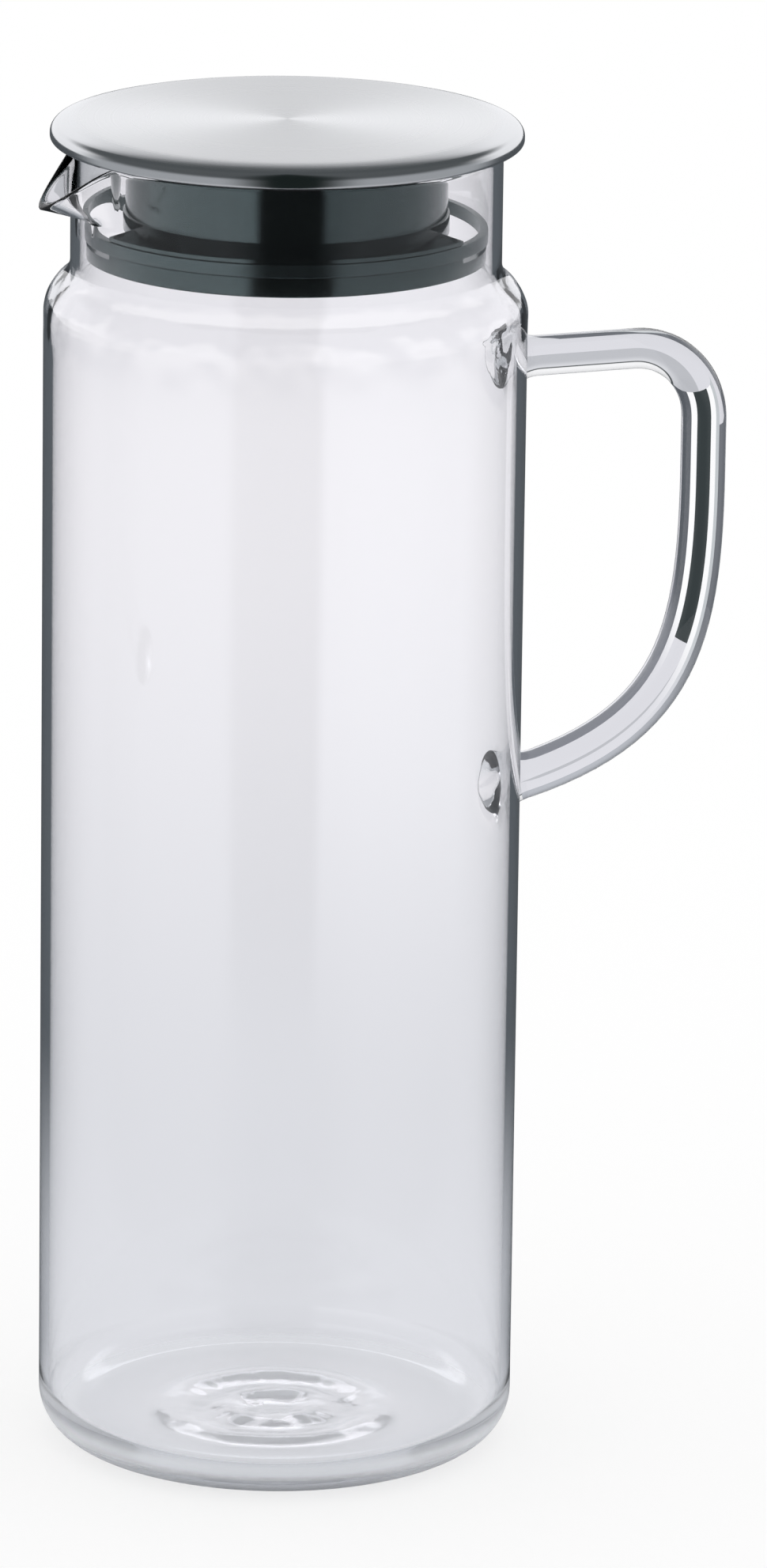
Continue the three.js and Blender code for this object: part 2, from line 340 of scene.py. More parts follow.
def blow_vessel():
    corner_r = BODY_R - BASE_CORNER_R
    spout_z = RIM_Z - SPOUT_ROOT
    rim_r = WALL / 2
    inner_corner_z = BASE_T + BASE_CORNER_R - WALL
    bends = SHOULDER_BEND_R + NECK_BEND_R
    slope = math.acos(1 - (BODY_R - NECK_R) / bends)
    degrees = math.degrees(slope)
    bend_r = BODY_R - SHOULDER_BEND_R
    throat_r = NECK_R + NECK_BEND_R
    throat_z = SHOULDER_Z + bends * math.sin(slope)

    glass = Profile(0, 0)
    glass.line(corner_r, 0, BASE_ROWS)
    glass.arc(corner_r, BASE_CORNER_R, 90, CORNER_STEPS)
    glass.line(BODY_R, SHOULDER_Z, WALL_ROWS)
    glass.arc(bend_r, SHOULDER_Z, degrees, BEND_STEPS)
    glass.arc(throat_r, throat_z, -degrees, BEND_STEPS)
    glass.line(NECK_R, spout_z, NECK_ROWS)
    glass.line(NECK_R, RIM_Z - rim_r, SPOUT_ROWS)
    glass.arc(NECK_R - rim_r, RIM_Z - rim_r, 180, RIM_STEPS)
    glass.line(NECK_R - WALL, spout_z, SPOUT_ROWS)
    glass.line(NECK_R - WALL, throat_z, NECK_ROWS)
    glass.arc(throat_r, throat_z, degrees, BEND_STEPS)
    glass.arc(bend_r, SHOULDER_Z, -degrees, BEND_STEPS)
    glass.line(BODY_R - WALL, inner_corner_z, WALL_ROWS)
    glass.arc(corner_r, inner_corner_z, -90, CORNER_STEPS)
    draw_base_rings(glass)
    vessel = glass.revolve("glass_jug", GLASS_SEGMENTS)
    warp(vessel, weigh_rings, "Z", RING_UNEVEN, RING_LUMP)
    warp(vessel, weigh_shoulder, "NORMAL", SHOULDER_UNEVEN, SHOULDER_LUMP)
    warp(vessel, weigh_roots, "X", -ROOT_SAG, ROOT_LUMP, 0)
    pull_spout(vessel)
    return vessel


def draw_base_rings(glass):
    """Rings left by the mould on the inside of the base, as waves of one height."""
    reach = RING_PITCH * RING_COUNT
    steps = RING_COUNT * RING_STEPS
    for i in range(steps + 1):
        across = reach * (steps - i) / steps
        wave = 1 - math.cos(2 * math.pi * across / RING_PITCH)
        glass.line(RING_START + across, BASE_T + RING_HEIGHT * wave)
    glass.line(0, BASE_T, CENTRE_ROWS)


def warp(vessel, weigh, direction, strength, lump, level=0.5):
    """Makes the glass uneven by lumps of one size, as far as each vertex weighs."""
    lumps = bpy.data.textures.new("lumps", "CLOUDS")
    lumps.noise_scale = lump * MM
    group = vessel.vertex_groups.new(name="lumps")
    for vertex in vessel.data.vertices:
        weight = weigh(*(vertex.co / MM))
        if weight > 0:
            group.add([vertex.index], weight, "REPLACE")
    where = {"vertex_group": "lumps", "direction": direction, "texture_coords": "LOCAL"}
    push = {"texture": lumps, "strength": strength * MM, "mid_level": level}
    apply_modifier(vessel, "DISPLACE", **where, **push)
    vessel.vertex_groups.clear()


def weigh_rings(x, y, z):
    """The rings inside the base, most at their centre."""
    across = math.hypot(x, y) / (RING_START + RING_PITCH * RING_COUNT)
    inside = BASE_T - RING_MARGIN < z < BASE_T + 3 * RING_HEIGHT and across < 1
    return math.cos(across * math.pi / 2) if inside else 0


def weigh_shoulder(x, y, z):
    """The shoulder, most at half its height."""
    rise = (z - SHOULDER_LOW_Z) / (SHOULDER_HIGH_Z - SHOULDER_LOW_Z)
    return math.sin(rise * math.pi) if 0 < rise < 1 else 0


def weigh_roots(x, y, z):
    """The inside of the wall behind both ends of the handle, where the glass was melted."""
    roots = (HANDLE_BAR_Z, LOWER_ROOT_Z)
    away = min(math.hypot(y, z - root_z) for root_z in roots) / ROOT_REACH
    inside = x > 0 and away < 1 and math.hypot(x, y) < BODY_R - WALL / 2
    return math.cos(away * math.pi / 2) ** 2 if inside else 0


def pull_spout(vessel):
    """Draws the rim out and down at -X, by the weight of each vertex in the pull."""
    reach = vessel.vertex_groups.new(name="reach")
    dip = vessel.vertex_groups.new(name="dip")
    for vertex in vessel.data.vertices:
        x, y, z = vertex.co
        rise = (z / MM - RIM_Z) / SPOUT_ROOT + 1
        side = math.atan2(abs(y), -x) / SPOUT_HALF_ANGLE
        if rise > 0 and side < 1:
            pull = math.cos(side * math.pi / 2) ** 2
            depth = (NECK_R - math.hypot(x, y) / MM) / WALL
            reach.add([vertex.index], pull * rise**SPOUT_FLARE, "REPLACE")
            dip.add([vertex.index], pull * rise * (1 - SPOUT_LIP * depth), "REPLACE")
    for group, direction, length in (("reach", "X", SPOUT_REACH), ("dip", "Z", SPOUT_DIP)):
        drawn = {"vertex_group": group, "direction": direction, "strength": -length * MM}
        apply_modifier(vessel, "DISPLACE", mid_level=0, space="LOCAL", **drawn)
    vessel.vertex_groups.clear()


def handle_knots():
    """Knots of the rod's axis: place, handle before, handle after, and share of the thickness."""
    bar_z = HANDLE_BAR_Z
    end_z = GRIP_END_Z
    root_z = LOWER_ROOT_Z
    bend_x = GRIP_X - HANDLE_BEND_R
    bend_z = bar_z - HANDLE_BEND_R
    pull = QUARTER_PULL * HANDLE_BEND_R
    fall_z = end_z - GRIP_PULL * (end_z - root_z)
    rise_z = root_z + LOWER_RISE
    return [
        ((ROOT_X, bar_z), (ROOT_X - ROOT_PULL, bar_z), (ROOT_X + BAR_PULL, bar_z), BAR_SHARE),
        ((bend_x, bar_z), (bend_x - BAR_PULL, bar_z), (bend_x + pull, bar_z), BAR_SHARE),
        ((GRIP_X, bend_z), (GRIP_X, bend_z + pull), (GRIP_X, bend_z - GRIP_LEAD), GRIP_SHARE),
        ((GRIP_X, end_z), (GRIP_X, end_z + GRIP_LEAD), (GRIP_X, fall_z), GRIP_SHARE),
        ((ROOT_X, root_z), (BELLY_X, rise_z), (ROOT_X - ROOT_PULL, root_z), LOWER_SHARE),
    ]


def bend_handle():
    """The rod as a bevelled curve, cut off short of the wall, with a foot drawn out of each end."""
    knots = handle_knots()
    bpy.ops.object.select_all(action="DESELECT")
    bpy.ops.curve.primitive_bezier_curve_add()
    rod = bpy.context.object
    rod.data.dimensions = "3D"
    rod.data.bevel_depth = ROD_D / 2 * MM
    rod.data.bevel_resolution = ROD_SIDE_STEPS
    rod.data.resolution_u = ROD_STEPS
    spline = rod.data.splines[0]
    spline.bezier_points.add(len(knots) - len(spline.bezier_points))
    for knot, (place, before, after, share) in zip(spline.bezier_points, knots):
        knot.handle_left_type = "FREE"
        knot.handle_right_type = "FREE"
        knot.co = (place[0] * MM, 0, place[1] * MM)
        knot.handle_left = (before[0] * MM, 0, before[1] * MM)
        knot.handle_right = (after[0] * MM, 0, after[1] * MM)
        knot.radius = share
    bpy.ops.object.convert(target="MESH")
    bpy.ops.object.mode_set(mode="EDIT")
    bpy.ops.mesh.select_all(action="SELECT")
    cut_x = (BODY_R + FOOT_LENGTH) * MM
    bpy.ops.mesh.bisect(plane_co=(cut_x, 0, 0), plane_no=(1, 0, 0), clear_inner=True)
    draw_foot(rod, cut_x, lambda z: z > GRIP_END_Z * MM, BAR_SHARE, 0)
    slope = LOWER_RISE / (BELLY_X - ROOT_X)
    draw_foot(rod, cut_x, lambda z: z < GRIP_END_Z * MM, LOWER_SHARE, slope)
    return finish_mesh("rod")


def draw_foot(rod, cut_x, is_this_end, share, slope):
    """Extrudes one cut end of the rod to the wall, wider at each step, and caps it in the glass."""
    bpy.ops.object.mode_set(mode="OBJECT")
    for part in (rod.data.polygons, rod.data.edges, rod.data.vertices):
        part.foreach_set("select", [False] * len(part))
    cut = [v for v in rod.data.vertices if abs(v.co.x - cut_x) < CUT_NEAR * MM]
    ring = [v for v in cut if is_this_end(v.co.z)]
    for vertex in ring:
        vertex.select = True
    centre = sum((v.co for v in ring), Vector()) / len(ring)
    bpy.ops.object.mode_set(mode="EDIT")
    bpy.ops.mesh.select_mode(type="VERT")
    rod_r = ROD_D / 2 * share
    swell = FOOT_D / 2 - rod_r
    step = Vector((-1, 0, -slope)) * (FOOT_LENGTH / FOOT_STEPS * MM)
    size = rod_r
    for i in range(FOOT_STEPS):
        wider = rod_r + swell * ((i + 1) / FOOT_STEPS) ** 2
        bpy.ops.mesh.extrude_region_move(TRANSFORM_OT_translate={"value": step})
        centre += step
        grow = wider / size
        bpy.ops.transform.resize(value=(1, grow, grow), center_override=centre)
        size = wider
    bpy.ops.mesh.extrude_region_move(TRANSFORM_OT_translate={"value": (-FOOT_DEPTH * MM, 0, 0)})
    bpy.ops.mesh.edge_face_add()


def press_cap():
    """Pressed sheet: flat top, crowned towards a rolled edge, with a hem turned in below it."""
    reach = CAP_CROWN_R - CAP_TOP_BEND_R
    crown_z = CAP_TOP_Z - CAP_CROWN_R
    bend_r = CAP_R - CAP_TOP_BEND_R
    flat_r = bend_r - reach * math.sin(CAP_CROWN)
    bend_z = crown_z + reach * math.cos(CAP_CROWN)
    hem_r = CAP_R - CAP_HEM_BEND_R
    hem_z = bend_z - CAP_SKIRT
    crown = math.degrees(CAP_CROWN)
    sheet = Profile(0, CAP_TOP_Z - CAP_SHEET)
    sheet.line(flat_r, CAP_TOP_Z - CAP_SHEET, TOP_ROWS)
    sheet.arc(flat_r, crown_z, -crown, INNER_CROWN_STEPS)
    sheet.arc(bend_r, bend_z, crown - 90, INNER_BEND_STEPS)
    sheet.line(CAP_R - CAP_SHEET, hem_z)
    sheet.line(hem_r, hem_z - CAP_HEM_BEND_R)
    sheet.arc(hem_r, hem_z, 90, HEM_STEPS)
    sheet.line(CAP_R, bend_z, SKIRT_ROWS)
    sheet.arc(bend_r, bend_z, 90 - crown, CAP_BEND_STEPS)
    sheet.arc(flat_r, crown_z, crown, CROWN_STEPS)
    sheet.line(0, CAP_TOP_Z, TOP_ROWS)
    return sheet.revolve("steel_cap", LID_SEGMENTS)


def mould_stopper():
    """Plate, seat ring, hollow collar and flange in one moulding, with pour slots in the flange."""
    seat_outer_r = NECK_R + SEAT_MARGIN
    seat_inner_r = NECK_R - WALL - SEAT_MARGIN
    groove_r = FLANGE_R - SEAL_DEPTH - GROOVE_GAP
    hollow_r = COLLAR_R - COLLAR_WALL
    wall_r = FLANGE_R - FLANGE_WALL
    web_z = FLANGE_EDGE_Z - WEB_T
    edge_r = FLANGE_R - FLANGE_EDGE_R
    body = Profile(0, PLATE_Z)
    body.line(hollow_r, PLATE_Z, STOPPER_ROWS)
    body.line(hollow_r, FLANGE_Z, STOPPER_ROWS)
    body.line(COLLAR_R, FLANGE_Z)
    body.line(COLLAR_R, web_z)
    body.line(wall_r, web_z)
    body.line(wall_r, FLANGE_Z)
    body.line(edge_r, FLANGE_Z)
    body.arc(edge_r, FLANGE_Z + FLANGE_EDGE_R, 90, FLANGE_EDGE_STEPS)
    body.line(FLANGE_R, SEAL_Z - GROOVE_GAP)
    body.line(groove_r, SEAL_Z - GROOVE_GAP)
    body.line(groove_r, SEAL_TOP_Z + GROOVE_GAP)
    body.line(FLANGE_R, SEAL_TOP_Z + GROOVE_GAP)
    body.line(FLANGE_R, FLANGE_EDGE_Z)
    body.line(COLLAR_R, CONE_Z, CONE_ROWS)
    body.line(COLLAR_R, PLATE_Z, STOPPER_ROWS)
    body.line(seat_inner_r, PLATE_Z)
    body.line(seat_inner_r, SEAT_Z)
    body.line(seat_outer_r, SEAT_Z)
    body.line(seat_outer_r, PLATE_Z)
    body.line(PLATE_R, PLATE_Z)
    body.line(PLATE_R, PLATE_Z + PLATE_T)
    body.line(0, PLATE_Z + PLATE_T, STOPPER_ROWS)
    stopper = body.revolve("stopper_moulding", LID_SEGMENTS)
    skirt_top = SEAL_Z - GROOVE_GAP / 2
    cuts = [
        (SKIRT_END, 180 - SKIRT_END, FLANGE_Z - CUT_MARGIN, skirt_top),
        (SLOT_START, SLOT_END, skirt_top - CUT_MARGIN, CONE_Z + CUT_MARGIN),
        (180 - SLOT_END, 180 - SLOT_START, skirt_top - CUT_MARGIN, CONE_Z + CUT_MARGIN),
    ]
    for start, end, bottom, top in cuts:
        combine(stopper, cut_sector(start, end, bottom, top), "DIFFERENCE")
    return stopper


def cut_sector(start, end, bottom, top):
    """A block beyond the collar, between two angles of the lid and two levels."""
    root_r = COLLAR_R + SLOT_ROOT
    block = Profile(root_r, bottom)
    block.line(NECK_R, bottom)
    block.line(NECK_R, top)
    block.line(root_r, top)
    block.line(root_r, bottom)
    bpy.ops.mesh.select_all(action="SELECT")
    bpy.ops.mesh.remove_doubles(threshold=MERGE * MM)
    bpy.ops.mesh.edge_face_add()
    steps = int((end - start) / 360 * LID_SEGMENTS)
    sweep = -math.radians(end - start)
    bpy.ops.mesh.spin(steps=steps, angle=sweep, center=(0, 0, 0), axis=(0, 0, 1))
    bpy.ops.mesh.select_all(action="SELECT")
    bpy.ops.mesh.fill_holes(sides=4)
    piece = finish_mesh("cutter")
    make_active(piece)
    piece.rotation_euler.z = math.radians(start + LID_TURN)
    bpy.ops.object.transform_apply(location=False, rotation=True, scale=False)
    return piece


def cast_seal():
    """Soft ring: a square root in the groove and a rounded lip towards the glass."""
    root_r = FLANGE_R - SEAL_DEPTH
    lip_r = FLANGE_R + LIP_REACH
    soft = LIP_BEVEL / 2
    ring = Profile(root_r, SEAL_Z)
    ring.line(lip_r - LIP_BEVEL, SEAL_Z)
    ring.arc(lip_r - LIP_BEVEL, SEAL_Z + LIP_BEVEL, 90, LIP_STEPS)
    ring.line(lip_r, SEAL_TOP_Z - soft)
    ring.arc(lip_r - soft, SEAL_TOP_Z - soft, 90, LIP_TOP_STEPS)
    ring.line(root_r, SEAL_TOP_Z)
    ring.line(root_r, SEAL_Z)
    return ring.revolve("silicone_seal", LID_SEGMENTS)


def linear(colour):
    """An sRGB hex colour as linear RGBA."""
    shares = [int(colour[i : i + 2], 16) / 255 for i in (1, 3, 5)]
    return [s / 12.92 if s <= 0.04045 else ((s + 0.055) / 1.055) ** 2.4 for s in shares] + [1]


def node(tree, kind, sockets=None, **settings):
    """Adds a node, sets its properties, and sets or links its sockets."""
    made = tree.nodes.new(kind)
    for key, value in settings.items():
        setattr(made, key, value)
    for key, value in (sockets or {}).items():
        if isinstance(value, bpy.types.NodeSocket):
            tree.links.new(value, made.inputs[key])
        else:
            made.inputs[key].default_value = value
    return made


def new_material(name):
    material = bpy.data.materials.new(name)
    material.use_nodes = True
    material.node_tree.nodes.clear()
    return material, material.node_tree


def borosilicate_glass():
    """Clear blown borosilicate: sharp reflections, a faint grey in thick places, soft draw lines."""
    material, tree = new_material("borosilicate_glass")
    place = node(tree, "ShaderNodeTexCoord").outputs["Object"]
    # Draw lines run up the wall, about 14 mm apart and ten times as long.
    drawn = node(tree, "ShaderNodeMapping", {"Vector": place, "Scale": (1, 1, DRAW_STRETCH)})
    lines = {"Vector": drawn.outputs[0], "Scale": 1 / (DRAW_WIDTH * MM), "Detail": 1.0}
    waves = node(tree, "ShaderNodeTexNoise", lines).outputs[0]
    bump = node(tree, "ShaderNodeBump", {"Height": waves, "Strength": 0.2, "Distance": 0.05 * MM})
    glass = node(
        tree,
        "ShaderNodeBsdfPrincipled",
        {
            "Base Color": linear("#fdfdfe"),
            "Roughness": 0.0,
            "IOR": 1.473,
            "Transmission Weight": 1.0,
            "Normal": bump.outputs[0],
        },
    )
    # The foot's face takes up the light of the table that it stands on.
    height = node(tree, "ShaderNodeSeparateXYZ", {0: place}).outputs["Z"]
    flat = node(tree, "ShaderNodeMapping", {"Vector": place, "Scale": (1, 1, 0)})
    length = node(tree, "ShaderNodeVectorMath", {0: flat.outputs[0]}, operation="LENGTH")
    rings_r = (RING_START + RING_PITCH * RING_COUNT) * GLOW_SHARE * MM
    edge_r = BODY_R * GLOW_SHARE * MM
    glow = smooth_step(tree, length.outputs["Value"], rings_r, edge_r, FOOT_GLOW_INSIDE, FOOT_GLOW)
    foot = compute(tree, "MULTIPLY", smooth_step(tree, height, FOOT_FACE * MM, 0.0), glow)
    table = node(tree, "ShaderNodeBsdfTranslucent", {"Color": linear("#f0f2f5")})
    whole = node(tree, "ShaderNodeMixShader", {0: foot, 1: glass.outputs[0], 2: table.outputs[0]})
    tint = node(tree, "ShaderNodeVolumeAbsorption", {"Color": linear("#d7d9df"), "Density": 12.0})
    node(tree, "ShaderNodeOutputMaterial", {"Surface": whole.outputs[0], "Volume": tint.outputs[0]})
    return material


def brushed_steel():
    """Stainless sheet brushed in circles: light drawn out along the radius, and a smoother edge."""
    material, tree = new_material("brushed_stainless_steel")
    place = node(tree, "ShaderNodeTexCoord").outputs["Object"]
    flat = node(tree, "ShaderNodeMapping", {"Vector": place, "Scale": (1, 1, 0)})
    radius = node(tree, "ShaderNodeVectorMath", {0: flat.outputs[0]}, operation="LENGTH")
    # Real grit lines are about 0.05 mm apart, too fine to show, so they are drawn at 0.4 mm.
    scratches = {"W": radius.outputs["Value"], "Scale": 1 / (GRIT_PITCH * MM), "Detail": 3.0}
    grit = node(tree, "ShaderNodeTexNoise", scratches, noise_dimensions="1D").outputs[0]
    shade = blend(tree, grit, linear("#d4d5d7"), linear("#dcdddf"))
    brushed = node(tree, "ShaderNodeMapRange", {"Value": grit, "To Min": 0.2, "To Max": 0.3})
    # The rolled edge is polished smoother than the top.
    height = node(tree, "ShaderNodeSeparateXYZ", {0: place}).outputs["Z"]
    polish_top = (CAP_TOP_Z - POLISH_START) * MM
    polish_foot = (CAP_TOP_Z - POLISH_END) * MM
    polish = smooth_step(tree, height, polish_top, polish_foot, 1.0, EDGE_POLISH)
    rough = compute(tree, "MULTIPLY", brushed.outputs[0], polish)
    # The scratches of the flat top scatter part of the light.
    scatter_top = (CAP_TOP_Z - SCATTER_START) * MM
    scatter_foot = (CAP_TOP_Z - SCATTER_END) * MM
    mirror = smooth_step(tree, height, scatter_foot, scatter_top, 1.0, TOP_MIRROR)
    bump = node(tree, "ShaderNodeBump", {"Height": grit, "Strength": 0.15, "Distance": 0.02 * MM})
    along = node(tree, "ShaderNodeTangent", direction_type="RADIAL", axis="Z")
    steel = node(
        tree,
        "ShaderNodeBsdfPrincipled",
        {
            "Base Color": shade,
            "Metallic": mirror,
            "Roughness": rough,
            "Anisotropic": 0.75,
            "Anisotropic Rotation": 0.25,
            "Tangent": along.outputs[0],
            "Normal": bump.outputs[0],
        },
    )
    node(tree, "ShaderNodeOutputMaterial", {"Surface": steel.outputs[0]})
    return material


def black_moulding():
    """Polished black ABS: clear reflections with the faint unevenness of a mould."""
    material, tree = new_material("polished_black_abs")
    place = node(tree, "ShaderNodeTexCoord").outputs["Object"]
    waves = {"Vector": place, "Scale": 1 / (MOULD_SKIN * MM), "Detail": 2.0}
    skin = node(tree, "ShaderNodeTexNoise", waves).outputs[0]
    shade = blend(tree, skin, linear("#080b09"), linear("#0f1311"))
    rough = node(tree, "ShaderNodeMapRange", {"Value": skin, "To Min": 0.05, "To Max": 0.12})
    bump = node(tree, "ShaderNodeBump", {"Height": skin, "Strength": 0.03, "Distance": 0.03 * MM})
    plastic = node(
        tree,
        "ShaderNodeBsdfPrincipled",
        {
            "Base Color": shade,
            "Roughness": rough.outputs[0],
            "IOR": 1.53,
            "Specular IOR Level": 0.8,
            "Specular Tint": (0.74, 0.97, 1.0, 1.0),
            "Normal": bump.outputs[0],
        },
    )
    node(tree, "ShaderNodeOutputMaterial", {"Surface": plastic.outputs[0]})
    return material


def black_silicone():
    """Moulded silicone: near black and satin, with a faint unevenness of its bloom."""
    material, tree = new_material("black_silicone")
    place = node(tree, "ShaderNodeTexCoord").outputs["Object"]
    patches = {"Vector": place, "Scale": 1 / (SILICONE_BLOOM * MM), "Detail": 2.0}
    bloom = node(tree, "ShaderNodeTexNoise", patches).outputs[0]
    shade = blend(tree, bloom, linear("#15191a"), linear("#191d1e"))
    rough = node(tree, "ShaderNodeMapRange", {"Value": bloom, "To Min": 0.21, "To Max": 0.25})
    rubber = node(
        tree,
        "ShaderNodeBsdfPrincipled",
        {
            "Base Color": shade,
            "Roughness": rough.outputs[0],
            "IOR": 1.5,
            "Specular IOR Level": 1.0,
            "Specular Tint": (0.74, 0.97, 1.0, 1.0),
        },
    )
    node(tree, "ShaderNodeOutputMaterial", {"Surface": rubber.outputs[0]})
    return material


def smooth_step(tree, value, low, high, start=0.0, end=1.0):
    sockets = {"Value": value, "From Min": low, "From Max": high, "To Min": start, "To Max": end}
    return node(tree, "ShaderNodeMapRange", sockets, interpolation_type="SMOOTHSTEP").outputs[0]


def blend(tree, factor, first, second):
    """Mixes two colours, each a socket or a linear colour."""
    mix = node(tree, "ShaderNodeMix", {"Factor": factor, 6: first, 7: second}, data_type="RGBA")
    return mix.outputs[2]


def compute(tree, operation, first, second=0.0):
    return node(tree, "ShaderNodeMath", {0: first, 1: second}, operation=operation).outputs[0]


def bearing(tree, place):
    """Turns a place or direction to the camera's side: its angle from the camera, and its axes."""
    turned = node(tree, "ShaderNodeMapping", {"Vector": place, "Rotation": (0, 0, -CAMERA_TURN)})
    axes = node(tree, "ShaderNodeSeparateXYZ", {0: turned.outputs[0]}).outputs
    front = compute(tree, "MULTIPLY", axes["Y"], -1.0)
    return compute(tree, "ARCTAN2", axes["X"], front), axes


def studio_colour(tree, place, gap, outer, inner, behind, backdrop, rods, edge):
    """Colour that the studio shows to each kind of ray, and whether the ray is a plain one.

    Camera and diffuse rays see white. A ray straight through the vessel sees the backdrop, and one
    through a rod of glass sees the rods colour, a painted refraction. A ray that was turned inside a
    wall sees the edge colour, painted shade along the glass's edges. Reflections see a panel at
    either hand with a gap at the camera between them, dark above these, and a bright wall behind;
    those from inside the vessel see the inner pair of panels, and a bright window behind that paints
    highlights.
    """
    path = node(tree, "ShaderNodeLightPath").outputs
    angle, axes = bearing(tree, place)
    off = compute(tree, "ABSOLUTE", compute(tree, "SUBTRACT", angle, GAP_CENTRE))
    lit = smooth_step(tree, off, GAP_HALF - GAP_BLUR, GAP_HALF + GAP_BLUR)
    outer_lit = smooth_step(tree, off, GAP_HALF - OUTER_BLUR, GAP_HALF + OUTER_BLUR)
    hand = smooth_step(tree, angle, -HAND_BLUR, HAND_BLUR)
    above = smooth_step(tree, axes["Z"], FRONT_DARK_START, FRONT_DARK_END)
    outer_panels = blend(tree, above, blend(tree, hand, *outer), FRONT_DARK)
    inner_panels = blend(tree, above, blend(tree, hand, *inner), INNER_DARK)
    front = blend(tree, outer_lit, OUTER_GAP, outer_panels)
    front_inside = blend(tree, lit, gap, inner_panels)
    wall = blend(tree, smooth_step(tree, axes["Z"], ZENITH_START, ZENITH_END), behind, ZENITH)
    aside = compute(tree, "ABSOLUTE", angle)
    back = smooth_step(tree, aside, PANEL_END - PANEL_BLUR, PANEL_END + PANEL_BLUR)
    mirrored = blend(tree, back, front, wall)

    through = path["Is Transmission Ray"]
    turned = compute(tree, "MULTIPLY", through, compute(tree, "MINIMUM", path["Glossy Depth"], 1.0))
    thin = compute(tree, "LESS_THAN", path["Transmission Depth"], THIN_DEPTH)
    clear = blend(tree, thin, backdrop, rods)
    # A bright window behind, seen only by rays reflected inside the vessel: painted highlights in
    # the glass.
    low = smooth_step(tree, axes["Z"], WINDOW_LOW - WINDOW_BLUR, WINDOW_LOW + WINDOW_BLUR)
    high = smooth_step(tree, axes["Z"], WINDOW_HIGH - WINDOW_BLUR, WINDOW_HIGH + WINDOW_BLUR)
    window = blend(tree, compute(tree, "SUBTRACT", low, high), backdrop, WINDOW)
    bent = blend(tree, thin, blend(tree, back, front_inside, window), edge)
    glassy = blend(tree, turned, clear, bent)
    shown = blend(tree, through, mirrored, glassy)
    plain = compute(tree, "MAXIMUM", path["Is Camera Ray"], path["Is Diffuse Ray"])
    return blend(tree, plain, shown, WHITE), plain


def light_studio():
    """A white world that lights plainly, and shows its panels only in glass and reflections."""
    world = bpy.data.worlds.new("studio")
    world.use_nodes = True
    world.cycles.sampling_method = "NONE"
    bpy.context.scene.world = world
    tree = world.node_tree
    tree.nodes.clear()
    towards = node(tree, "ShaderNodeTexCoord").outputs["Generated"]
    rods = skyline_colours(tree, towards)
    outer = (OUTER_LEFT, OUTER_RIGHT)
    inner = (INNER_LEFT, INNER_RIGHT)
    colour, _ = studio_colour(
        tree, towards, GAP_COLOUR, outer, inner, WORLD_BEHIND, BACKDROP_FAR, rods, WORLD_EDGE
    )
    light = node(tree, "ShaderNodeBackground", {"Color": colour})
    node(tree, "ShaderNodeOutputWorld", {"Surface": light.outputs[0]})


def ground_colours(tree, place):
    """Painted refraction that rods show of the floor: light near by and greyer far off."""
    foot = (GRIP_X * MM, 0, 0)
    beyond = node(tree, "ShaderNodeVectorMath", {0: place, 1: foot}, operation="DISTANCE")
    far = smooth_step(tree, beyond.outputs["Value"], GREY_START, GREY_END)
    return blend(tree, far, ROD_NEAR, ROD_FAR)


def skyline_colours(tree, towards):
    """Painted refraction that rods show above the floor: a grey band, a dark line over it, and white
    above that.
    """
    height = node(tree, "ShaderNodeSeparateXYZ", {0: towards}).outputs["Z"]
    grey_band = blend(tree, smooth_step(tree, height, 0.0, LINE_LOW), ROD_FAR, ROD_GREY_BAND)
    under = smooth_step(tree, height, LINE_LOW - LINE_BLUR, LINE_LOW + LINE_BLUR)
    over = smooth_step(tree, height, LINE_HIGH - LINE_BLUR, LINE_HIGH + LINE_BLUR)
    return blend(tree, over, blend(tree, under, grey_band, DARK_LINE), WHITE)


def lay_floor():
    """A white floor that keeps the object's shadow; glass and reflections see painted colours on it.
    """
    bpy.ops.object.select_all(action="DESELECT")
    under = (0, 0, -FLOOR_DROP * MM)
    bpy.ops.mesh.primitive_circle_add(
        vertices=FLOOR_SIDES, radius=FLOOR_R, fill_type="NGON", location=under
    )
    floor = bpy.context.object
    floor.name = "floor"
    material, tree = new_material("white_floor")
    place = node(tree, "ShaderNodeTexCoord").outputs["Object"]
    reach = node(tree, "ShaderNodeVectorMath", {0: place}, operation="LENGTH").outputs["Value"]
    rising = blend(tree, smooth_step(tree, reach, RISE_START, RISE_END), BACKDROP_NEAR, BACKDROP_FAR)
    backdrop = blend(tree, smooth_step(tree, reach, FALL_START, FALL_END), rising, BACKDROP_END)
    beside = smooth_step(tree, reach, FOOT_NEAR, FOOT_FAR)
    # Rods see painted floor tones beyond the foot; the edge and gap colours are painted shade,
    # lighter round the foot.
    rods = blend(tree, beside, BACKDROP_NEAR, ground_colours(tree, place))
    edge = blend(tree, beside, FOOT_EDGE, FLOOR_EDGE)
    gap = blend(tree, beside, FOOT_EDGE, GAP_COLOUR)
    away = smooth_step(tree, reach, PANEL_NEAR, PANEL_FAR)
    outer = [blend(tree, away, NEAR_PANEL, panel) for panel in (OUTER_LEFT, OUTER_RIGHT)]
    inner = [blend(tree, away, NEAR_PANEL, panel) for panel in (INNER_LEFT, INNER_RIGHT)]
    colour, plain = studio_colour(tree, place, gap, outer, inner, FLOOR_BEHIND, backdrop, rods, edge)
    shown = node(tree, "ShaderNodeEmission", {"Color": colour})
    lit = node(tree, "ShaderNodeEmission", {"Strength": 1 - FLOOR_DIFFUSE})
    paint = node(tree, "ShaderNodeBsdfDiffuse", {"Color": (FLOOR_DIFFUSE,) * 3 + (1,)})
    shaded = node(tree, "ShaderNodeAddShader", {0: lit.outputs[0], 1: paint.outputs[0]})
    both = node(tree, "ShaderNodeMixShader", {0: plain, 1: shown.outputs[0], 2: shaded.outputs[0]})
    node(tree, "ShaderNodeOutputMaterial", {"Surface": both.outputs[0]})
    floor.data.materials.append(material)


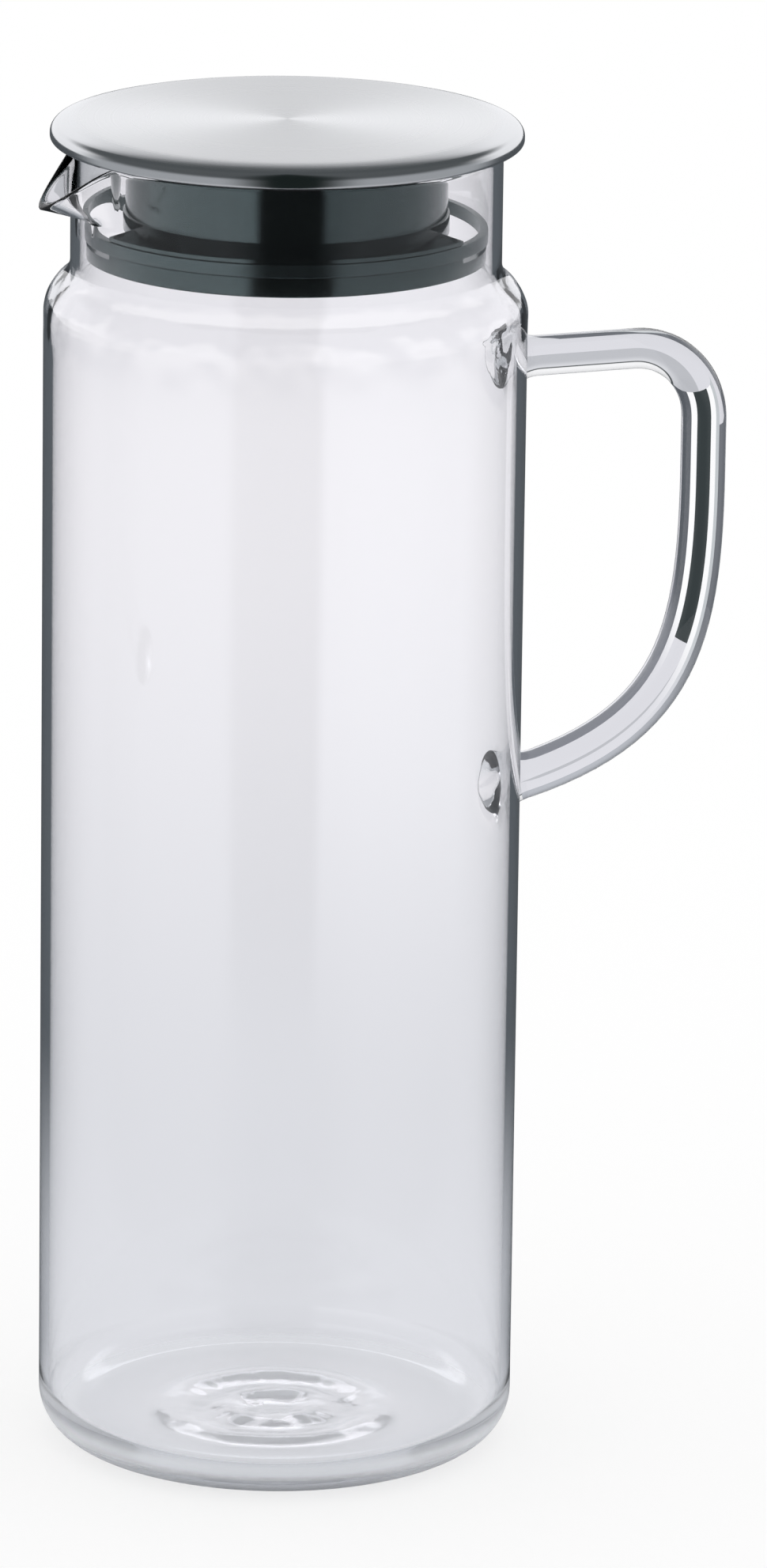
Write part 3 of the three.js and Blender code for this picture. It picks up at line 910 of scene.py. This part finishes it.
def trace_grip(high_z, low_z):
    """Points down the rod's axis from the bend to the lower root, between two heights."""
    knots = handle_knots()[1:]
    points = []
    for (place, _, after, _), (end, before, _, _) in zip(knots, knots[1:]):
        corners = [Vector((x, 0, z)) for x, z in (place, after, before, end)]
        points = points[:-1] + interpolate_bezier(*corners, CARD_ROWS)
    return [p for p in points if low_z <= p.z <= high_z]


def hang_card(name, sides, high_z, low_z, upper, lower):
    """A card along the handle and behind it, which only rods show, turned round as a lens does."""
    points = trace_grip(high_z, low_z)
    bpy.ops.object.select_all(action="DESELECT")
    bpy.ops.mesh.primitive_grid_add(x_subdivisions=1, y_subdivisions=len(points) - 1, size=1)
    card = bpy.context.object
    card.name = name
    for vertex in card.data.vertices:
        row, column = divmod(vertex.index, 2)
        course = points[min(row + 1, len(points) - 1)] - points[max(row - 1, 0)]
        outward = Vector((-course.z, 0, course.x)).normalized()
        sight = (points[row] - CAMERA_PLACE).normalized()
        vertex.co = (points[row] + outward * sides[column] + sight * CARD_BEHIND) * MM
    material, tree = new_material(name)
    path = node(tree, "ShaderNodeLightPath").outputs
    place = node(tree, "ShaderNodeTexCoord").outputs["Object"]
    height = node(tree, "ShaderNodeSeparateXYZ", {0: place}).outputs["Z"]
    fade = smooth_step(tree, height, CARD_FADE_LOW * MM, CARD_FADE_HIGH * MM)
    shade = blend(tree, fade, lower, upper)
    thin = compute(tree, "LESS_THAN", path["Transmission Depth"], THIN_DEPTH)
    straight = compute(tree, "LESS_THAN", path["Glossy Depth"], STRAIGHT_DEPTH)
    plain = compute(tree, "MULTIPLY", thin, straight)
    seen = compute(tree, "MULTIPLY", plain, path["Is Transmission Ray"])
    # The card glows, and rods show it as painted refraction: a painted dark line, shade or
    # highlight.
    painted_refraction = node(tree, "ShaderNodeEmission", {"Color": shade})
    unseen = node(tree, "ShaderNodeBsdfTransparent")
    both = node(tree, "ShaderNodeMixShader", {0: seen, 1: unseen.outputs[0], 2: painted_refraction.outputs[0]})
    node(tree, "ShaderNodeOutputMaterial", {"Surface": both.outputs[0]})
    card.data.materials.append(material)


def place_camera():
    """A long lens at the fitted place, turned so that the aimed point falls on its pixel."""
    turn, back = CAMERA_TURN, CAMERA_BACK
    level_right = Vector((math.cos(turn), math.sin(turn), 0))
    level_up = back.cross(level_right)
    right = math.cos(CAMERA_ROLL) * level_right + math.sin(CAMERA_ROLL) * level_up
    up = math.cos(CAMERA_ROLL) * level_up - math.sin(CAMERA_ROLL) * level_right
    focal = PIXELS_PER_MM * CAMERA_DISTANCE
    off_right = AIM_PIXEL[0] - FRAME_W / 2
    off_down = AIM_PIXEL[1] - FRAME_H / 2
    forward = (-focal * back - off_right * right + off_down * up).normalized()
    right = forward.cross(up).normalized()
    up = right.cross(forward)
    data = bpy.data.cameras.new("camera")
    data.sensor_width = SENSOR
    data.lens = focal / FRAME_H * SENSOR
    camera = bpy.data.objects.new("camera", data)
    bpy.context.scene.collection.objects.link(camera)
    turned = Matrix((right, up, -forward)).transposed().to_4x4()
    camera.matrix_world = Matrix.Translation(CAMERA_PLACE * MM) @ turned
    bpy.context.scene.camera = camera


def dress(piece, material, body, slot, *nodes):
    make_active(piece)
    bpy.ops.object.shade_smooth_by_angle(angle=SMOOTH_ANGLE)
    piece.data.materials.clear()
    piece.data.materials.append(material)
    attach(piece, body)
    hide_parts(*nodes)


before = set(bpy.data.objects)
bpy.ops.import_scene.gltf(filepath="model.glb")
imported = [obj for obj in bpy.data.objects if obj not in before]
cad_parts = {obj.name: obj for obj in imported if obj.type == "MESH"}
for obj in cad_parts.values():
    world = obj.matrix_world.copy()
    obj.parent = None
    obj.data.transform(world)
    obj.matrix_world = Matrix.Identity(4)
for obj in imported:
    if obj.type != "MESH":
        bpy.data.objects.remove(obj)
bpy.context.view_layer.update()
bpy.context.scene.view_settings.view_transform = "Standard"
place_camera()
light_studio()
lay_floor()
# Cards that only rods see, painting the handle's refraction: a dark line, shade at the rims,
# highlights and sheen.
hang_card("grip_line", (-LINE_HALF, LINE_HALF), LINE_START_Z, LINE_END_Z, DARK_LINE, DARK_LINE)
hang_card("inner_card", INNER_CARD, LINE_START_Z, 0, GRIP_EDGE, CURVE_EDGE)
hang_card("outer_card", OUTER_CARD, OUTER_START_Z, 0, GRIP_RIM, CURVE_RIM)
hang_card("left_light", (LINE_HALF, INNER_CARD[0]), LINE_START_Z, 0, GRIP_LIGHT, ROD_LOW)
hang_card("right_light", (SHEEN_EDGE, -LINE_HALF), LINE_START_Z, 0, GRIP_LIGHT, ROD_LOW)
hang_card("right_sheen", (OUTER_CARD[1], SHEEN_EDGE), LINE_START_Z, 0, GRIP_SHEEN, ROD_LOW)

jug = blow_vessel()
combine(jug, bend_handle(), "UNION")
dress(jug, borosilicate_glass(), "jug", "glass", "glass_body", "handle")
dress(press_cap(), brushed_steel(), "lid", "steel", "lid_cap")
dress(mould_stopper(), black_moulding(), "lid", "black_plastic", "stopper")
dress(cast_seal(), black_silicone(), "seal", "silicone", "seal_ring")
